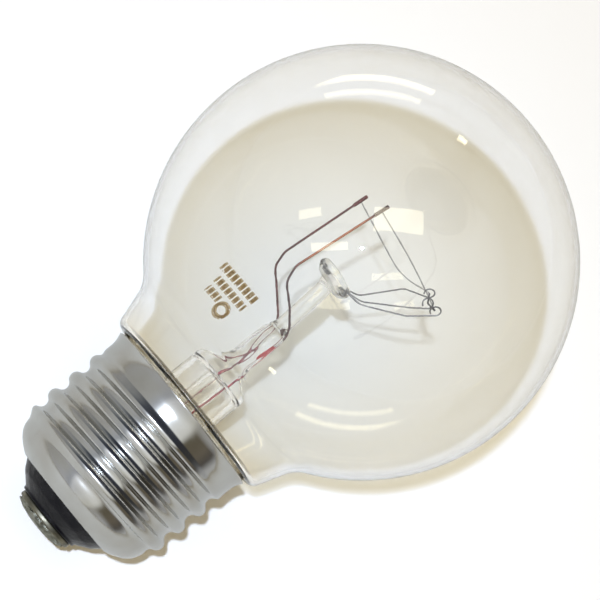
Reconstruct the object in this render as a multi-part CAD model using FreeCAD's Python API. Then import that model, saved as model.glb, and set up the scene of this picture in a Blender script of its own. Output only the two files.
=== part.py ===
import FreeCAD, Part
import math
import os

# Clear globe bulb on a rolled screw cap. The axis is +Z, the cap is down, and the origin
# is the middle of the flat on the solder of the centre contact. The front is the -Y side,
# and +X is to its right. All lengths are millimetres.

# The screw cap: a thin sheet shell with a rolled round thread
thread_pitch = 3.629
thread_crest_radius = 13.1
thread_rounding = 1.025
thread_phase_z = 18.4
thread_starts_z = 8.0
thread_full_z = 10.3
thread_fades_z = 20.2
thread_ends_z = 22.3
shell_wall = 0.3
shell_bottom_z = 4.9
shell_bottom_radius = 8.6
shell_turn_in_height = 4.5
shell_turn_in_power = 3
skirt_step = 0.35
rim_z = 25.2
rim_flare = 0.55
rim_flare_height = 2.0

# The black glass at the foot of the cap, the contact plate, its solder and the cement
fit_clearance = 0.05
insulator_top_z = 8.4
insulator_waist_radius = 7.0
insulator_waist_z = 3.6
insulator_foot_radius = 5.2
insulator_foot_height = 0.4
insulator_hole_radius = 1.2
insulator_foot_rounding = 0.2
insulator_step_rounding = 0.3
insulator_waist_rounding = 1.5
contact_radius = 4.8
contact_thickness = 0.85
contact_hole_radius = 0.9
contact_edge_rounding = 0.3
solder_height = 1.05
solder_radius = 4.1
solder_flat_radius = 1.8
solder_edge_height = 0.3
solder_dome_share = 0.36
cement_bottom_z = 15.5
cement_top_z = 24.4
cement_thickness = 0.7
cement_step = 0.3
cement_throat_drop = 0.8
side_solder_radius = 1.15
side_solder_offset = 0.15
side_solder_z = 24.7
solder_film = 0.02

# The blown bulb
globe_radius = 30.15
globe_rise = 1.2
glass_wall = 0.65
neck_fillet = 5.0
neck_overhang = 1.2
neck_z = 25.85
neck_taper_deg = 18.0
neck_shoulder_rounding = 1.3
neck_throat_z = 21.0
neck_throat_rounding = 4.0
neck_rim_step = 0.9
neck_rim_z = 25.3
neck_rim_rounding = 0.5
neck_seal_z = 12.2

# The stem: flare, press, exhaust tube, and rod with its button
flare_tube_radius = 4.8
flare_wall = 0.95
flare_rounding_share = 0.87
press_bottom_z = 35.2
press_top_z = 41.9
press_thickness = 3.7
press_width = 8.8
press_shoulder_height = 2.3
press_rounding = 0.8
stem_bore_end_z = 32.2
stem_bore_rounding = 1.0
exhaust_radius = 1.85
exhaust_bore_radius = 1.15
exhaust_tip_z = 9.9
exhaust_tip_length = 3.2
exhaust_tip_radius = 0.5
exhaust_tip_rounding = 0.3
exhaust_shoulder_rounding = 2.0
exhaust_bore_rounding = 1.0
exhaust_bore_tip_share = 0.6
exhaust_hole_radius = 0.7
exhaust_hole_z = 33.7
rod_radius = 1.15
rod_base_height = 1.0
button_center = (-0.6, 0.0, 52.8)
button_radius = 3.25
button_thickness = 1.9
button_tilt_deg = 7.0
button_rounding_share = 0.42
cut_margin = 2.0

# The wires
lead_radius = 0.16
lead_knot_depth = 1.0
lead_rise = 0.4
dumet_length = 5.2
clamp_radius = 0.27
clamp_length = 2.4
clamp_rounding_share = 0.4
outer_lead_radius = 0.12
outer_lead_drop = 1.5
side_lead_gap = 0.35
support_radius = 0.11
support_ring_radius = 0.75
support_ring_turn_deg = 300
filament_radius = 0.13
wire_bend = 2.5
filament_hook_bend = 0.5

# Where the two leads cross the press, and the bent routes from its top to their tips
near_lead_in_press = (1.5, -2.6)
far_lead_in_press = (-0.2, 2.6)
near_lead_route = (
    (0.7, -2.8, 43.5),
    (-1.4, -3.2, 45.2),
    (-4.4, -3.8, 47.0),
    (-5.25, -4.2, 49.3),
    (-3.6, -4.6, 64.4),
)
far_lead_route = (
    (-1.7, 2.8, 44.0),
    (-4.8, 3.3, 46.3),
    (-7.2, 3.9, 48.0),
    (-7.9, 4.2, 50.4),
    (-6.7, 4.6, 64.6),
)

# The three support wires, from the button to the foot of the ring that carries the
# filament, and the direction in which the filament passes through each ring
support_route_1 = (
    (0.6, 1.5, 53.0),
    (3.4, 2.6, 54.4),
    (6.7, 4.2, 60.3),
    (9.7, 5.0, 62.2),
)
support_route_2 = (
    (0.9, 0.2, 52.8),
    (4.2, 0.3, 53.8),
    (8.9, 0.7, 58.4),
    (10.8, 0.8, 60.5),
)
support_route_3 = (
    (0.6, -1.5, 52.6),
    (4.4, -2.2, 53.1),
    (9.6, -3.5, 56.9),
    (12.0, -4.4, 59.9),
)
ring_passes = ((1.0, -0.55, -0.1), (0.2, -0.95, -0.25), (-0.7, -1.06, 0.28))
near_filament_sag = (4.2, -4.9, 62.0)
far_filament_sag = (4.8, 5.0, 61.2)

# The routes of the outer leads: the side lead passes under the foot of the neck and climbs
# between neck and shell to the rim, the other goes down through the black glass
side_lead_foot = ((-0.2, 2.9, 16.0), (0.0, 7.5, 10.4))
side_lead_heights = (10.7, 20.6, 24.0, 25.15)
centre_lead_route = (
    (0.9, -2.9, 17.0),
    (0.2, -2.6, 12.0),
    (0.0, 0.0, 7.6),
    (0.0, 0.0, 0.5),
)

os.makedirs("parts", exist_ok=True)


def vec(point):
    return FreeCAD.Vector(*point)


def save(shape, node):
    """Write one piece to its own file, after a look at whether it is sound."""
    shape = shape.removeSplitter() if shape.ShapeType != "Solid" else shape
    print(node, len(shape.Solids), "solid(s)", "valid" if shape.isValid() else "NOT VALID",
          "volume", round(shape.Volume, 3))
    shape.exportStep(os.path.join("parts", node + ".step"))


def rounded_outline(corners):
    """Edges of an open outline in the r-z plane: corners are (r, z, fillet radius)."""
    edges = []
    start = vec((corners[0][0], 0, corners[0][1]))
    for before, corner, after in zip(corners, corners[1:], corners[2:]):
        here = vec((corner[0], 0, corner[1]))
        back = (vec((before[0], 0, before[1])) - here).normalize()
        ahead = (vec((after[0], 0, after[1])) - here).normalize()
        if corner[2] > 0:
            half = back.getAngle(ahead) / 2
            reach = corner[2] / math.tan(half)
            middle = here + (back + ahead).normalize() * (corner[2] / math.sin(half) - corner[2])
            arc_start = here + back * reach
            arc_end = here + ahead * reach
            edges.append(Part.LineSegment(start, arc_start).toShape())
            edges.append(Part.Arc(arc_start, middle, arc_end).toShape())
            start = arc_end
        else:
            edges.append(Part.LineSegment(start, here).toShape())
            start = here
    end = vec((corners[-1][0], 0, corners[-1][1]))
    edges.append(Part.LineSegment(start, end).toShape())
    return edges


def revolved(edges):
    """One full turn of a closed outline about the axis."""
    face = Part.Face(Part.Wire(Part.__sortEdges__(edges)))
    solid = face.revolve(vec((0, 0, 0)), vec((0, 0, 1)), 360)
    return solid.Solids[0] if solid.Solids else Part.Solid(solid)


def turned(corners):
    """A turned solid from a closed ring of (r, z, fillet radius) corners."""
    first = corners[0]
    return revolved(rounded_outline(list(corners) + [(first[0], first[1], 0)]))


def bent_path(points, bends):
    """Straight runs joined by tangent arcs of the wanted radii, as far as the runs allow."""
    points = [vec(p) for p in points]
    edges = []
    start = points[0]
    for before, here, after, wanted in zip(points, points[1:], points[2:], bends):
        back = (before - here).normalize()
        ahead = (after - here).normalize()
        half = back.getAngle(ahead) / 2
        shorter = min(before.distanceToPoint(here), after.distanceToPoint(here))
        bend = min(wanted, 0.45 * shorter * math.tan(half))
        reach = bend / math.tan(half)
        middle = here + (back + ahead).normalize() * (bend / math.sin(half) - bend)
        edges.append(Part.LineSegment(start, here + back * reach).toShape())
        edges.append(Part.Arc(here + back * reach, middle, here + ahead * reach).toShape())
        start = here + ahead * reach
    edges.append(Part.LineSegment(start, points[-1]).toShape())
    return edges


def wire_path(points):
    return bent_path(points, [wire_bend] * len(points))


def swept_round(edges, radius):
    """A round wire along a path, checked against its section times its length."""
    path = Part.Wire(edges)
    first = edges[0]
    begin = first.valueAt(first.FirstParameter)
    heading = first.tangentAt(first.FirstParameter)
    section = Part.Wire(Part.Circle(begin, heading, radius).toShape())
    wire = path.makePipeShell([section], True, True)
    expected = math.pi * radius ** 2 * path.Length
    if abs(wire.Volume - expected) > 0.02 * expected:
        print("  swept volume", round(wire.Volume, 3), "expected", round(expected, 3))
    return wire


def blend(value, low, high):
    """0 up to low, 1 from high on, and a smooth rise between them."""
    share = min(max((value - low) / (high - low), 0.0), 1.0)
    return share * share * (3 - 2 * share)


# Screw shell: thin sheet, drawn to a cup with its foot turned in over the black glass,
# then rolled with a right-hand round thread. Crest and root are equal arcs that meet.
arc_reach = thread_pitch / 4
arc_height = thread_rounding - math.sqrt(thread_rounding ** 2 - arc_reach ** 2)
thread_depth = 2 * arc_height
thread_root_radius = thread_crest_radius - thread_depth
skirt_radius = thread_crest_radius - skirt_step
rim_radius = skirt_radius + rim_flare


def thread_rise(angle, z):
    """How far the rolled wave stands out from its root, at an angle and a height."""
    along = z - thread_phase_z - thread_pitch * angle / (2 * math.pi)
    offset = along - thread_pitch * round(along / thread_pitch)
    if abs(offset) <= arc_reach:
        return thread_depth - thread_rounding + math.sqrt(thread_rounding ** 2 - offset ** 2)
    offset = thread_pitch / 2 - abs(offset)
    return thread_rounding - math.sqrt(thread_rounding ** 2 - offset ** 2)


def shell_body_radius(z):
    """The cup without its thread: the turned-in foot, the wall, the skirt and the rim."""
    left = 1 - min((z - shell_bottom_z) / shell_turn_in_height, 1)
    foot = thread_root_radius - (thread_root_radius - shell_bottom_radius) * left ** shell_turn_in_power
    skirt = (skirt_radius - thread_root_radius) * blend(z, thread_fades_z, thread_ends_z)
    flare_share = max(1 - (rim_z - z) / rim_flare_height, 0)
    return foot + skirt + (rim_radius - skirt_radius) * flare_share ** 2


def shell_radius(angle, z):
    shown = blend(z, thread_starts_z, thread_full_z) * (1 - blend(z, thread_fades_z, thread_ends_z))
    return shell_body_radius(z) + shown * thread_rise(angle, z)


def shell_point(angle, z, depth):
    """A point on the shell's outer face, or depth under it along the wall's normal."""
    step = 0.01
    slope = (shell_radius(angle, z + step) - shell_radius(angle, z - step)) / (2 * step)
    level = 1 / math.hypot(1, slope)
    radius = shell_radius(angle, z) - depth * level
    return vec((radius * math.cos(angle), radius * math.sin(angle), z + depth * slope * level))


def shell_face(depth):
    """One face of the wall, through points set out by the formula a twelfth of a pitch apart."""
    angle_steps = 24
    level_steps = math.ceil((rim_z - shell_bottom_z) / (thread_pitch / 12))
    rise = (rim_z - shell_bottom_z) / level_steps
    grid = []
    for i in range(angle_steps + 1):
        angle = 2 * math.pi * (i % angle_steps) / angle_steps
        grid.append([shell_point(angle, shell_bottom_z + rise * k, depth) for k in range(level_steps + 1)])
    surface = Part.BSplineSurface()
    surface.interpolate(grid)
    return surface.toShape()


def rim_edges(face):
    """The two level edges of a shell face, the lower one first."""
    level = [e for e in face.Edges if e.BoundBox.ZLength < thread_pitch]
    return sorted(level, key=lambda e: e.BoundBox.ZMin)


def make_screw_shell():
    outer = shell_face(0)
    inner = shell_face(shell_wall)
    rings = [Part.makeRuledSurface(a, b) for a, b in zip(rim_edges(outer), rim_edges(inner))]
    shell = Part.makeShell([outer, inner] + rings)
    shell.sewShape()
    solid = Part.Solid(shell)
    if solid.Volume < 0:
        solid.reverse()
    return solid


screw_shell = make_screw_shell()
save(screw_shell, "screw_shell")


def shell_outline(depth, low, high, steps=18):
    """The shell's wall as a curve in the r-z plane, where it has no thread."""
    points = [shell_point(0, low + (high - low) * k / steps, depth) for k in range(steps + 1)]
    curve = Part.BSplineCurve()
    curve.interpolate(points)
    return curve.toShape()


# Cap insulator: black glass pressed hot into the foot of the shell, with a hole for the
# wire. Its cone shows below the shell and ends at the contact plate.
contact_top_z = solder_height + contact_thickness


def make_cap_insulator():
    seat = shell_outline(shell_wall + fit_clearance, shell_bottom_z, thread_starts_z)
    seat_foot = seat.valueAt(seat.FirstParameter)
    seat_top = seat.valueAt(seat.LastParameter)
    cone = rounded_outline([
        (insulator_hole_radius, insulator_top_z, 0),
        (insulator_hole_radius, contact_top_z, 0),
        (insulator_foot_radius, contact_top_z, insulator_foot_rounding),
        (insulator_foot_radius, contact_top_z + insulator_foot_height, insulator_step_rounding),
        (insulator_waist_radius, insulator_waist_z, insulator_waist_rounding),
        (seat_foot.x, seat_foot.z, 0),
    ])
    top = rounded_outline([
        (seat_top.x, seat_top.z, 0),
        (seat_top.x, insulator_top_z, 0),
        (insulator_hole_radius, insulator_top_z, 0),
    ])
    return revolved(cone + [seat] + top)


cap_insulator = make_cap_insulator()
save(cap_insulator, "cap_insulator")


# Centre contact: a stamped brass plate under the black glass, with an eyelet
centre_contact = turned([
    (contact_hole_radius, solder_height, 0),
    (contact_radius, solder_height, contact_edge_rounding),
    (contact_radius, contact_top_z, contact_edge_rounding),
    (contact_hole_radius, contact_top_z, 0),
])
save(centre_contact, "centre_contact")


# Glass envelope: one blown globe, its neck necked in to pass the rim of the cap and
# fused to the stem's flare inside it.
neck_in_cap_radius = thread_root_radius - shell_wall - cement_thickness
neck_rim_radius = neck_in_cap_radius + neck_rim_step
neck_radius = rim_radius + neck_overhang
globe_center_z = neck_z + globe_rise + globe_radius


def neck_frame():
    """A point on the neck's taper, its upward direction and its outward normal."""
    taper = math.radians(neck_taper_deg)
    upward = FreeCAD.Vector(math.sin(taper), 0, math.cos(taper))
    outward = FreeCAD.Vector(math.cos(taper), 0, -math.sin(taper))
    return vec((neck_radius, 0, neck_z)), upward, outward


def bulb_outline():
    """The outer face of the glass in the r-z plane, from the seal to the top of the globe."""
    foot, upward, outward = neck_frame()
    center = vec((0, 0, globe_center_z))
    reach = foot + outward * neck_fillet - center
    half_b = reach.dot(upward)
    rest = reach.dot(reach) - (globe_radius + neck_fillet) ** 2
    fillet_center = foot + outward * neck_fillet + upward * (-half_b - math.sqrt(half_b ** 2 - rest))
    on_neck = fillet_center - outward * neck_fillet
    on_globe = center + (fillet_center - center).normalize() * globe_radius
    halfway = ((on_neck + on_globe) * 0.5 - fillet_center).normalize()
    neck = rounded_outline([
        (neck_in_cap_radius, neck_seal_z, 0),
        (neck_in_cap_radius, neck_throat_z, neck_throat_rounding),
        (neck_rim_radius, neck_rim_z, neck_rim_rounding),
        (neck_radius, neck_z, neck_shoulder_rounding),
        (on_neck.x, on_neck.z, 0),
    ])
    fillet = Part.Arc(on_neck, fillet_center + halfway * neck_fillet, on_globe).toShape()
    globe = Part.Arc(on_globe, center + vec((globe_radius, 0, 0)), center + vec((0, 0, globe_radius)))
    return Part.Wire(neck + [fillet, globe.toShape()])


def make_glass_envelope():
    outer = bulb_outline()
    inner = outer.makeOffset2D(-glass_wall, 0, False, True)
    if inner.BoundBox.XMax > outer.BoundBox.XMax:
        inner = outer.makeOffset2D(glass_wall, 0, False, True)
    edges = list(outer.Edges) + list(inner.Edges)
    low = min(inner.Vertexes, key=lambda v: v.Z).Point
    high = max(inner.Vertexes, key=lambda v: v.Z).Point
    edges.append(Part.LineSegment(vec((neck_in_cap_radius, 0, neck_seal_z)), low).toShape())
    edges.append(Part.LineSegment(high, vec((0, 0, globe_center_z + globe_radius))).toShape())
    return revolved(edges)


glass_envelope = make_glass_envelope()
save(glass_envelope, "glass_envelope")


# The bulb and everything that stands in it are one sealed mount. The wires come first,
# because the glass and the solder are closed round them.
def vertical_between(place, low, high, radius):
    """A straight wire through the press at an (x, y) place."""
    base = vec((place[0], place[1], low))
    return Part.makeCylinder(radius, high - low, base, vec((0, 0, 1)))


knot_z = press_top_z - lead_knot_depth
dumet_bottom_z = knot_z - dumet_length


def make_inner_lead(place, route):
    """A lead from its knot in the press to the clamp folded over the filament's end."""
    tip = vec(route[-1])
    heading = (tip - vec(route[-2])).normalize()
    clamp_foot = tip - heading * clamp_length
    points = (
        (place[0], place[1], knot_z),
        (place[0], place[1], press_top_z + lead_rise),
    ) + route[:-1] + (tuple(clamp_foot + heading * lead_radius * 2),)
    wire = swept_round(wire_path(points), lead_radius)
    clamp = Part.makeCylinder(clamp_radius, clamp_length, clamp_foot, heading)
    clamp = clamp.makeFillet(clamp_radius * clamp_rounding_share, [e for e in clamp.Edges if e.isClosed()])
    return wire.fuse(clamp).removeSplitter().Solids[0], (clamp_foot + tip) * 0.5


def make_outer_lead(place, route):
    """A thin copper lead from the foot of the seal wire down through the flare."""
    start = (place[0], place[1], dumet_bottom_z)
    bore_end = (place[0], place[1], stem_bore_end_z - outer_lead_drop)
    return swept_round(wire_path((start, bore_end) + route), outer_lead_radius)


side_lead_radii = (
    neck_in_cap_radius + side_lead_gap,
    neck_in_cap_radius + side_lead_gap,
    neck_rim_radius + side_lead_gap / 2,
    rim_radius - shell_wall - 2 * outer_lead_radius,
)
side_lead_climb = tuple((0.0, radius, z) for radius, z in zip(side_lead_radii, side_lead_heights))
side_lead_route = side_lead_foot + side_lead_climb

near_lead, near_clamp = make_inner_lead(near_lead_in_press, near_lead_route)
far_lead, far_clamp = make_inner_lead(far_lead_in_press, far_lead_route)
near_seal = vertical_between(near_lead_in_press, dumet_bottom_z, knot_z, lead_radius)
far_seal = vertical_between(far_lead_in_press, dumet_bottom_z, knot_z, lead_radius)
centre_lead = make_outer_lead(near_lead_in_press, centre_lead_route)
side_lead = make_outer_lead(far_lead_in_press, side_lead_route)


# Support wires: each is sunk in the button, bends up and out, and ends in an open ring
# that the filament passes through.
def support_frame(route, through):
    """The wire's end, its heading there, and the direction from it to the ring's centre."""
    end = vec(route[-1])
    heading = (end - vec(route[-2])).normalize()
    side = vec(through).cross(heading).normalize()
    return end, heading, side


def ring_center(route, through):
    end, heading, side = support_frame(route, through)
    return end + side * support_ring_radius


def make_support(route, through):
    end, heading, side = support_frame(route, through)
    center = ring_center(route, through)

    def on_ring(degrees):
        turn = math.radians(degrees)
        return center + (heading * math.sin(turn) - side * math.cos(turn)) * support_ring_radius

    edges = wire_path(route)
    half = support_ring_turn_deg / 2
    edges.append(Part.Arc(end, on_ring(half / 2), on_ring(half)).toShape())
    edges.append(Part.Arc(on_ring(half), on_ring(half * 1.5), on_ring(half * 2)).toShape())
    return swept_round(edges, support_radius)


support_routes = tuple(zip((support_route_1, support_route_2, support_route_3), ring_passes))
supports = [make_support(route, through) for route, through in support_routes]


# Filament: a fine tungsten coil, strung from one clamp through the three rings to the
# other. Its two sagging runs take the widest arcs that fit.
def make_filament():
    rings = [ring_center(route, through) for route, through in support_routes]
    points = [near_clamp, vec(near_filament_sag)] + rings[::-1] + [vec(far_filament_sag), far_clamp]
    bends = [math.inf] + [filament_hook_bend] * len(rings) + [math.inf]
    return swept_round(bent_path(points, bends), filament_radius)


filament = make_filament()
near_lead = near_lead.cut(filament).Solids[0]
far_lead = far_lead.cut(filament).Solids[0]


# Stem: a flared glass tube, its top pinched flat and hot over the leads, the exhaust tube
# and the rod. The blown hole joins the bulb to the exhaust tube.
def press_profile(half_width):
    """The stem's outline seen from one side: wide at the flare, pinched to the press."""
    wide = neck_in_cap_radius + cut_margin
    shoulder_z = press_bottom_z - press_shoulder_height
    right = [
        (wide, shoulder_z, 0),
        (flare_tube_radius, shoulder_z, press_rounding),
        (half_width, press_bottom_z, press_rounding),
        (half_width, press_top_z, press_rounding),
        (0, press_top_z, 0),
    ]
    half = Part.Wire(rounded_outline([(wide, 0, 0)] + right))
    mirrored = half.mirror(vec((0, 0, 0)), vec((1, 0, 0)))
    foot = Part.LineSegment(vec((-wide, 0, 0)), vec((wide, 0, 0))).toShape()
    return Part.Face(Part.Wire(Part.__sortEdges__(half.Edges + mirrored.Edges + [foot])))


def make_stem_flare():
    bore_radius = flare_tube_radius - flare_wall
    mouth_z = neck_seal_z - flare_wall
    flare_rounding = (neck_in_cap_radius - flare_tube_radius) * flare_rounding_share
    blank = turned([
        (0, press_top_z, 0),
        (flare_tube_radius, press_top_z, 0),
        (flare_tube_radius, neck_seal_z, flare_rounding),
        (neck_in_cap_radius, neck_seal_z, 0),
        (neck_in_cap_radius, mouth_z, 0),
        (bore_radius, mouth_z, flare_rounding + flare_wall),
        (bore_radius, stem_bore_end_z, stem_bore_rounding),
        (0, stem_bore_end_z, 0),
    ])
    depth = 2 * (neck_in_cap_radius + cut_margin)
    front = press_profile(press_thickness / 2).extrude(vec((0, depth, 0)))
    front.translate(vec((0, -depth / 2, 0)))
    side = press_profile(press_width / 2).extrude(vec((0, depth, 0)))
    side.translate(vec((0, -depth / 2, 0)))
    side.rotate(vec((0, 0, 0)), vec((0, 0, 1)), 90)
    stem = blank.common(front).common(side)
    blown = Part.makeCylinder(
        exhaust_bore_radius, exhaust_hole_z - stem_bore_end_z, vec((0, 0, stem_bore_end_z)))
    vent = Part.makeCylinder(
        exhaust_hole_radius, neck_in_cap_radius, vec((0, 0, exhaust_hole_z)), vec((1, 0, 0)))
    dome = Part.makeSphere(exhaust_bore_radius, vec((0, 0, exhaust_hole_z)))
    stem = stem.cut(blown.fuse([dome, vent]))
    stem = stem.cut([near_lead, far_lead, near_seal, far_seal, centre_lead, side_lead])
    return stem.Solids[0]


stem_flare = make_stem_flare()


# Exhaust tube: the tube that the bulb was pumped through, drawn to a tip below the flare
exhaust_tube = turned([
    (0, exhaust_tip_z, 0),
    (exhaust_tip_radius, exhaust_tip_z, exhaust_tip_rounding),
    (exhaust_radius, exhaust_tip_z + exhaust_tip_length, exhaust_shoulder_rounding),
    (exhaust_radius, stem_bore_end_z, 0),
    (exhaust_bore_radius, stem_bore_end_z, 0),
    (exhaust_bore_radius, exhaust_tip_z + exhaust_tip_length, exhaust_bore_rounding),
    (0, exhaust_tip_z + exhaust_tip_length * exhaust_bore_tip_share, 0),
])


# Support rod: a glass cane on the press, its end melted and squashed to a button
def make_support_rod():
    center = vec(button_center)
    tilt = math.radians(button_tilt_deg)
    up = FreeCAD.Vector(math.sin(tilt), 0, math.cos(tilt))
    foot = vec((0, 0, press_top_z))
    cane = Part.makeCylinder(rod_radius, foot.distanceToPoint(center), foot, center - foot)
    base = Part.makeCylinder(rod_radius, rod_base_height, foot, vec((0, 0, 1)))
    button = Part.makeCylinder(
        button_radius, button_thickness, center - up * (button_thickness / 2), up)
    rounding = button_thickness * button_rounding_share
    button = button.makeFillet(rounding, [e for e in button.Edges if e.isClosed()])
    rod = button.fuse([cane, base]).removeSplitter()
    below = Part.makeCylinder(button_radius, cut_margin, vec((0, 0, press_top_z - cut_margin)))
    return rod.cut(below).cut(supports).Solids[0]


support_rod = make_support_rod()

save(stem_flare, "stem_flare")
save(exhaust_tube, "exhaust_tube")
save(support_rod, "support_rod")
save(near_lead, "inner_lead_1")
save(far_lead, "inner_lead_2")
save(near_seal, "seal_wire_1")
save(far_seal, "seal_wire_2")
for number, support in enumerate(supports, 1):
    save(support, "support_wire_" + str(number))
save(filament, "filament")


# Cement: baked into the skirt of the shell round the neck, closed over the side lead
def make_basing_cement():
    cement_radius = thread_root_radius - shell_wall - fit_clearance
    throat = neck_in_cap_radius + fit_clearance
    share = (cement_top_z - neck_throat_z) / (neck_rim_z - neck_throat_z)
    top_radius = neck_in_cap_radius + (neck_rim_radius - neck_in_cap_radius) * share + fit_clearance
    skirt = skirt_radius - shell_wall - 2 * fit_clearance
    ring = turned([
        (throat, cement_bottom_z, 0),
        (cement_radius, cement_bottom_z, 0),
        (cement_radius, thread_fades_z + cement_step, 0),
        (skirt, thread_ends_z, 0),
        (skirt, cement_top_z, 0),
        (top_radius, cement_top_z, 0),
        (throat, neck_throat_z - cement_throat_drop, 0),
    ])
    return ring.cut(side_lead).Solids[0]


basing_cement = make_basing_cement()
save(basing_cement, "basing_cement")


# Solder: a button over the eyelet of the centre contact, and a blob on the rim at the back
def make_centre_solder():
    edge_z = solder_height - solder_edge_height
    rise = Part.Arc(
        vec((solder_flat_radius, 0, 0)),
        vec(((solder_flat_radius + solder_radius) / 2, 0, edge_z * solder_dome_share)),
        vec((solder_radius, 0, edge_z)))
    rest = rounded_outline([
        (solder_radius, edge_z, 0),
        (solder_radius, solder_height, 0),
        (contact_hole_radius, solder_height, 0),
        (contact_hole_radius, contact_top_z, 0),
        (0, contact_top_z, 0),
        (0, 0, 0),
        (solder_flat_radius, 0, 0),
    ])
    return revolved([rise.toShape()] + rest).cut(centre_lead).Solids[0]


def make_side_solder():
    blob = Part.makeSphere(side_solder_radius, vec((0, rim_radius + side_solder_offset, side_solder_z)))
    wall = shell_outline(-solder_film, thread_ends_z, rim_z)
    foot = wall.valueAt(wall.FirstParameter)
    rim = wall.valueAt(wall.LastParameter)
    rim_top = shell_point(0, rim_z, shell_wall).z + solder_film
    over_rim = rounded_outline([
        (rim.x, rim.z, 0),
        (rim.x, rim_top, 0),
        (0, rim_top, 0),
        (0, foot.z, 0),
        (foot.x, foot.z, 0),
    ])
    inside_cap = revolved([wall] + over_rim)
    clear_of_glass = turned([
        (0, neck_rim_z, 0),
        (neck_rim_radius + fit_clearance, neck_rim_z, 0),
        (neck_radius + fit_clearance, neck_z, 0),
        (0, neck_z, 0),
    ])
    return blob.cut([inside_cap, clear_of_glass]).Solids[0]


save(make_centre_solder(), "centre_solder")
save(make_side_solder(), "side_solder")
save(centre_lead, "outer_lead_centre")
save(side_lead, "outer_lead_side")
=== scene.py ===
import bpy
import bmesh
import math
from mathutils import Matrix, Vector, noise


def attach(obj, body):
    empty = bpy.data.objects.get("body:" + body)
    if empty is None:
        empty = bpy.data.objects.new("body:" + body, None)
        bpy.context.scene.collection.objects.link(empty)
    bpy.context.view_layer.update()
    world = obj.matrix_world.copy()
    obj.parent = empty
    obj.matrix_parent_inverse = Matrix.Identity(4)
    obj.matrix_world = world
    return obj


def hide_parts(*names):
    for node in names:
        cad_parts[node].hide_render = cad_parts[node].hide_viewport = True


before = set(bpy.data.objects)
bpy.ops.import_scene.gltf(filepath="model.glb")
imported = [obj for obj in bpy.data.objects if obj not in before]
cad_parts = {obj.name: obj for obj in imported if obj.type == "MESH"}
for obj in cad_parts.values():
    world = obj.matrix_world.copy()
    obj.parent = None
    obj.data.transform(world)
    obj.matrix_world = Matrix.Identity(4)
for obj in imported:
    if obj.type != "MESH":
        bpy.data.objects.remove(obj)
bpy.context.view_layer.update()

# Camera: it stands over the paper that the bulb lies on, a little towards the cap, and is
# rolled so that the bulb points to the upper right. Sizes in this file are millimetres,
# and each is brought to metres when its piece is made.
mm = 0.001
camera_place = Vector((-1.3, -285.0, 14.0))
camera_aim = Vector((-1.3, 0.0, 47.3))
camera_roll = math.radians(51)
camera_lens = 124.6
camera_sees_from = 10.0


def add_object(name, data):
    """Put an object in the scene, with its mesh, curve, lamp or camera."""
    added = bpy.data.objects.new(name, data)
    bpy.context.scene.collection.objects.link(added)
    return added


ahead = (camera_aim - camera_place).normalized()
level = ahead.cross(Vector((0, 0, 1))).normalized()
upright = level.cross(ahead)
image_right = level * math.cos(camera_roll) + upright * math.sin(camera_roll)
image_up = upright * math.cos(camera_roll) - level * math.sin(camera_roll)
camera = add_object("camera", bpy.data.cameras.new("camera"))
camera.matrix_world = Matrix.Translation(camera_place * mm) @ Matrix(
    (image_right, image_up, -ahead)).transposed().to_4x4()
camera.data.lens = camera_lens
camera.data.clip_start = camera_sees_from * mm
bpy.context.scene.camera = camera


# Screw shell: thin aluminium sheet, drawn to a cup whose foot turns in over the black
# glass, then rolled with a round right-hand thread. A straight tube is spun and each
# ring of it is moved out to the rolled form.
shell_bottom_z = 4.9
rim_z = 25.2
shell_wall = 0.3
thread_pitch = 3.629
thread_crest_radius = 13.1
thread_rounding = 1.025
thread_phase_z = 18.4
thread_starts = (8.0, 10.3)
thread_fades = (20.2, 22.3)
foot_radius = 8.6
foot_height = 4.5
skirt_radius = 12.75
rim_radius = 13.3
rim_flare_height = 2.0
quarter = thread_pitch / 4
thread_depth = 2 * (thread_rounding - math.sqrt(thread_rounding ** 2 - quarter ** 2))
thread_root_radius = thread_crest_radius - thread_depth
shell_cuts = 199
large_round_steps = 180
corner_steps = 8
merge_distance = 0.0005
sharp_from = math.radians(35)


def smooth(value, low, high):
    """0 up to low, 1 from high on, and a smooth rise between them."""
    share = min(max((value - low) / (high - low), 0.0), 1.0)
    return share * share * (3 - 2 * share)


def thread_rise(angle, z):
    """How far the rolled wave stands out from its root."""
    along = z - thread_phase_z - thread_pitch * angle / math.tau
    offset = abs(along - thread_pitch * round(along / thread_pitch))
    if offset <= quarter:
        return thread_depth - thread_rounding + math.sqrt(thread_rounding ** 2 - offset ** 2)
    return thread_rounding - math.sqrt(thread_rounding ** 2 - (thread_pitch / 2 - offset) ** 2)


def shell_radius(angle, z):
    """The shell's outer radius: foot, wall, thread, skirt and flared rim."""
    left = 1 - min((z - shell_bottom_z) / foot_height, 1)
    flare = max(1 - (rim_z - z) / rim_flare_height, 0)
    skirt = smooth(z, *thread_fades)
    radius = thread_root_radius - (thread_root_radius - foot_radius) * left ** 3
    radius += (skirt_radius - thread_root_radius) * skirt + (rim_radius - skirt_radius) * flare ** 2
    return radius + smooth(z, *thread_starts) * (1 - skirt) * thread_rise(angle, z)


def outline(shape, corners):
    """An open outline in the x-z plane, from (radius, height, rounding) corners."""
    verts = [shape.verts.new((r, 0, z)) for r, z, _ in corners]
    for pair in zip(verts, verts[1:]):
        shape.edges.new(pair)
    for k in range(1, len(corners) - 1):
        if corners[k][2]:
            here = verts[k].co.copy()
            back = Vector((corners[k - 1][0], 0, corners[k - 1][1])) - here
            on = Vector((corners[k + 1][0], 0, corners[k + 1][1])) - here
            reach = corners[k][2] / math.tan(back.angle(on) / 2)
            bmesh.ops.bevel(shape, geom=[verts[k]], offset=reach, offset_type="OFFSET",
                            affect="VERTICES", segments=corner_steps, profile=0.5, material=-1)


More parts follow.
